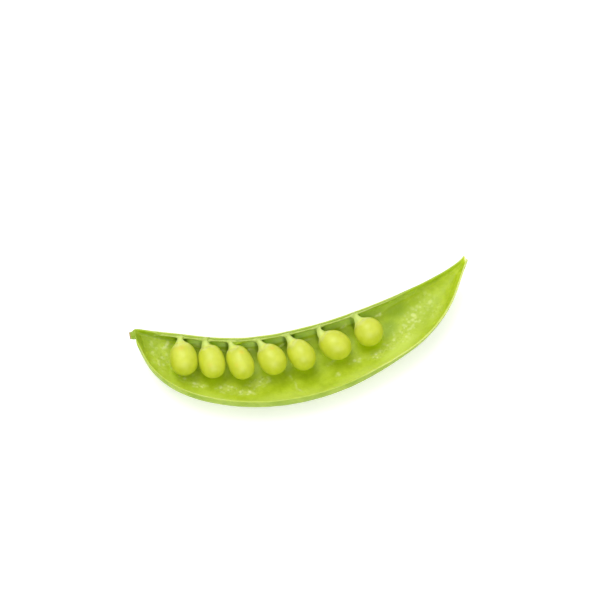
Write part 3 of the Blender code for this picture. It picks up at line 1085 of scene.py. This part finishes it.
def inner_skin(along, round_off, angle):
    """The inside's points, and how strongly they lie in the spongy patches and the streaks."""
    normal, _ = outward(along[:, None], angle[None, :])
    deep = wall_thickness(along, angle) * (1 + round_off[:, None]) / 2
    points = outside(along[:, None], angle[None, :]) - normal * deep[..., None]
    patch = spots(points, PATCHES_MM)
    ticks = spots(points, TICKS_MM)
    sponge = np.abs(lumps(points, 0.55 * MM, 5)) * 0.16 * MM * patch
    waves = lumps(points, 1.7 * MM, 8) * 0.06 * MM + lumps(points, 0.7 * MM, 9) * 0.03 * MM
    rise = pea_seats(points) + sponge + ticks * TICK_HEIGHT + waves
    points = points - normal * (rise * round_off[:, None])[..., None]
    return points, patch, ticks


def neck_closed(inner, angle, filled):
    """The inside with its hollow closed towards the neck by a lid between the rims."""
    share = ((1 - np.cos(angle)) / 2)[None, :, None]
    lid = inner[:, -1:] + (inner[:, :1] - inner[:, -1:]) * share
    lid[..., 2] -= NECK_DIP * np.sin(angle)
    return inner + (lid - inner) * filled[..., None]


def flatten_tip(points, along, angle):
    """Moves the torn tip's skin towards the straight line between the rims."""
    share = np.abs(np.cos(angle) - math.cos(angle[0])) / 2
    first, last = points[:, :1, 2], points[:, -1:, 2]
    chord = first + (last - first) * share[None, :]
    lift = TIP_FLATNESS * smooth(along[:, None], *TIP_FLATTENED)
    points[..., 2] += (chord - points[..., 2]) * lift


def over_loops(columns, outer=0.0, dorsal=0.0, inner=0.0, ventral=0.0, stub=0.0):
    """A number for each vertex, from those for each part of the valve's loops and for the stub.

    Those for both rims are given from the outer edge to the inner one.
    """
    rows = (OUTER_ROWS, RIM_ROWS, INNER_ROWS, RIM_ROWS)
    given = zip((outer, dorsal, inner, ventral), rows)
    parts = [np.broadcast_to(values, (columns, count)) for values, count in given]
    # The loops cross the ventral rim from its inner edge to its outer one.
    parts[-1] = parts[-1][:, ::-1]
    valve = np.concatenate(parts, axis=1)
    return np.concatenate([np.broadcast_to(stub, (STUB_LOOPS, sum(rows))), valve])


# How far across a rim its pale line lies, from 0 at the outer edge to 1, and its half width.
DORSAL_LINE_AT = 0.62
DORSAL_LINE_WIDTH = 0.2
VENTRAL_LINE_AT = 0.22
VENTRAL_LINE_WIDTH = 0.16


def dorsal_line(column, across):
    """The line on the rim's inner edge at the stem end, and over the whole rim at the tip."""
    strength = 0.72 - 0.5 * between(column, *DORSAL_LINE_FAINT)
    strength = strength + 0.14 * smooth(column, *DORSAL_LINE_STRONG)
    edge = bell(across - DORSAL_LINE_AT, DORSAL_LINE_WIDTH)
    line = edge + (1 - edge) * smooth(column, *DORSAL_LINE_WIDENS)
    return line * strength * smooth(column, *DORSAL_LINE_STARTS)


def ventral_line(column, across):
    """The line on the rim's outer edge beside the string, and over the whole rim elsewhere."""
    edge = bell(across - VENTRAL_LINE_AT, VENTRAL_LINE_WIDTH)
    line = np.maximum(edge, (1 - strung(column)) * np.sin(across * math.pi))
    shown = 1 - 0.85 * between(column, *VENTRAL_LINE_WEAK)
    return line * 0.75 * smooth(column, *VENTRAL_LINE_STARTS) * shown


def beside_rims(column, angle):
    """The paleness of the skin beside the rims, near the tip."""
    edges = 1 - smooth(np.minimum(angle, math.pi - angle), 0, RIM_FADE)[None, :]
    return edges * smooth(column, *RIMS_PALE) * 0.6


def under_string(along, angle, inner):
    """Where the wall under the string is a smooth band of painted light, and where it is painted
    deeper green as shade.
    """
    column = along[:, None]
    degrees = np.degrees(angle)[None, :]
    wobble = lumps(inner, 3.0 * MM, 12) * 4
    reach = np.interp(along, BAND_PLACES, BAND_DEGREES)[:, None]
    wall = smooth(degrees, 2, 5) * (1 - smooth(degrees + wobble, reach - 5, reach + 4))
    # deep is painted shade: the wall under the string is made deeper green.
    deep = wall * (1 - between(column, *SHADE_SPARED)) * between(column, *SHADE_UNDER_STRING)
    deep = deep * (0.8 - 0.45 * smooth(column, *BAND_WEAKER))
    band = wall * between(column, *BAND_SHOWN) * (1 - 0.6 * smooth(column, *BAND_WEAKEST))
    band = band * (1 - 0.45 * smooth(column, *BAND_WEAKER))
    return band, deep


def mark_rims(mesh, along, outer_angle, inner_angle, ticks):
    """Marks the pale lines of the rims, the torn tip and the raised streaks. Their paleness is
    partly a painted highlight.
    """
    column = along[:, None]
    across = rim_turns()[None, :] / math.pi
    values = over_loops(
        len(along),
        outer=beside_rims(column, outer_angle),
        dorsal=dorsal_line(column, across),
        inner=np.maximum(beside_rims(column, inner_angle), ticks * 0.75),
        ventral=ventral_line(column, across),
    )
    values[STUB_LOOPS:] = np.maximum(values[STUB_LOOPS:], smooth(column, *TIP_TORN))
    mark(mesh, "rim", values)


def mark_flesh(mesh, along, angle, inner, patch, ticks):
    """Marks where the flesh of the hollow differs."""
    band, deep = under_string(along, angle, inner)
    gap = np.min([pea_gap(number, inner) for number in PEAS], axis=0)
    marks = {
        "band": band,
        "patch": np.maximum(patch, ticks),
        "glow": spots(inner, PAINTED_GLOWS_MM),
        "nook": spots(inner, NOOKS_MM),
        # Light that has passed through the peas brightens the flesh close to them.
        "near": 0.9 * (1 - smooth(gap, 0.2 * MM, 2.2 * MM)),
    }
    for name, values in marks.items():
        mark(mesh, name, over_loops(len(along), inner=values))
    # The deep mark is painted shade: deeper green in the listed spots and under the string, and the
    # ventral rim is darkened too.
    deep = np.maximum(spots(inner, PAINTED_SHADES_MM), deep)
    mark(mesh, "deep", over_loops(len(along), inner=deep, ventral=0.65))


def make_valve(material):
    along, round_off = column_places()
    outer_angle = np.linspace(0, math.pi, OUTER_ROWS)
    inner_angle = np.linspace(math.pi, 0, INNER_ROWS)
    filled = 1 - smooth(along[:, None], 0.0, NECK_FILLED)
    outer, tangent = outer_skin(along, round_off, outer_angle)
    inner, patch, ticks = inner_skin(along, round_off, inner_angle)
    inner = neck_closed(inner, inner_angle, filled)
    flatten_tip(outer, along, outer_angle)
    flatten_tip(inner, along, inner_angle)

    groove = GROOVE_DEPTH * strung(along)
    plain = np.zeros_like(groove)
    dorsal_rim = rim_loops(outer[:, -1], inner[:, 0], tangent[:, -1], along, plain)
    ventral_rim = rim_loops(outer[:, 0], inner[:, -1], -tangent[:, 0], along, groove)[:, ::-1]
    loops = np.concatenate([outer, dorsal_rim, inner, ventral_rim], axis=1)
    stub, far = stub_loops(loops[0])
    mesh = loop_mesh("pod_shell", np.concatenate([stub, loops]))

    mark_rims(mesh, along, outer_angle, inner_angle, ticks)
    hollow = 1 - filled
    over_rim = rim_turns()[None, :] / math.pi * hollow
    inside = over_loops(len(along), dorsal=over_rim, inner=hollow, ventral=over_rim)
    mark(mesh, "inside", inside)
    mark(mesh, "scar", over_loops(len(along), stub=smooth(far, *SCAR_RISE)[:, None]))
    mark_flesh(mesh, along, inner_angle, inner, patch, ticks)
    add_piece("pod_shell", mesh, material, "pod_green", "pod_valve")


# The stage.

VIEW_TURN = math.radians(-14)
VIEW_HEIGHT = math.radians(60)
VIEW_DISTANCE = 0.365
VIEW_TARGET = Vector((-0.4, 12.0, 6.6)) * MM
LENS = 90


def make_camera():
    level = math.cos(VIEW_HEIGHT)
    turned = (math.sin(VIEW_TURN) * level, -math.cos(VIEW_TURN) * level)
    back = Vector((*turned, math.sin(VIEW_HEIGHT)))
    data = bpy.data.cameras.new("camera")
    data.lens = LENS
    data.clip_start = 0.01
    camera = new_object("camera", data)
    camera.location = VIEW_TARGET + back * VIEW_DISTANCE
    camera.rotation_euler = back.to_track_quat("Z", "Y").to_euler()
    bpy.context.scene.camera = camera


FLOOR_GLOW = 0.34
FLOOR_COLOUR = (0.87, 0.87, 0.87, 1)
FLOOR_HALF_WIDTH = 2.0
WHITE = (1, 1, 1, 1)


def make_floor():
    mesh = bpy.data.meshes.new("floor")
    plane = bmesh.new()
    bmesh.ops.create_grid(plane, x_segments=1, y_segments=1, size=FLOOR_HALF_WIDTH)
    plane.to_mesh(mesh)
    plane.free()
    material, _, shader = new_material("floor_white", 0.9)
    shader.inputs["Base Color"].default_value = FLOOR_COLOUR
    shader.inputs["Emission Color"].default_value = WHITE
    shader.inputs["Emission Strength"].default_value = FLOOR_GLOW
    mesh.materials.append(material)
    floor = new_object("floor", mesh)


# The sky's strength at the horizon and above, the height from 0 to 1 where it is full, and the
# soft boxes: name, place, size and power.
SKY_LOW = 0.35
SKY_HIGH = 0.85
SKY_FULL_FROM = 0.9
LIGHTS = (
    ("soft_overhead", (-0.12, 0.3, 0.72), 0.55, 2.6),
    ("soft_front", (-0.12, -0.6, 0.5), 0.5, 1.7),
)


def add_light(name, place, size, power):
    """A square area light that faces the pod."""
    data = bpy.data.lights.new(name, "AREA")
    data.shape = "SQUARE"
    data.size = size
    data.energy = power
    light = new_object(name, data)
    light.location = place
    light.rotation_euler = Vector(place).to_track_quat("Z", "Y").to_euler()


def make_lights():
    """The soft boxes, and a sky that is brighter above."""
    world = bpy.data.worlds.new("studio")
    world.use_nodes = True
    tree = world.node_tree
    direction = add(tree, "ShaderNodeTexCoord").outputs["Generated"]
    height = add(tree, "ShaderNodeSeparateXYZ", {0: direction}).outputs["Z"]
    strength = ramp(tree, height, 0.0, SKY_FULL_FROM, SKY_LOW, SKY_HIGH)
    background = tree.nodes["Background"]
    background.inputs["Color"].default_value = WHITE
    tree.links.new(strength, background.inputs["Strength"])
    bpy.context.scene.world = world
    for light in LIGHTS:
        add_light(*light)
    bpy.context.scene.view_settings.view_transform = "Standard"


def main():
    make_camera()
    make_floor()
    make_lights()
    make_valve(pod_material())
    make_peas(pea_material())
    make_string(string_material())


main()
bpy.context.view_layer.update()
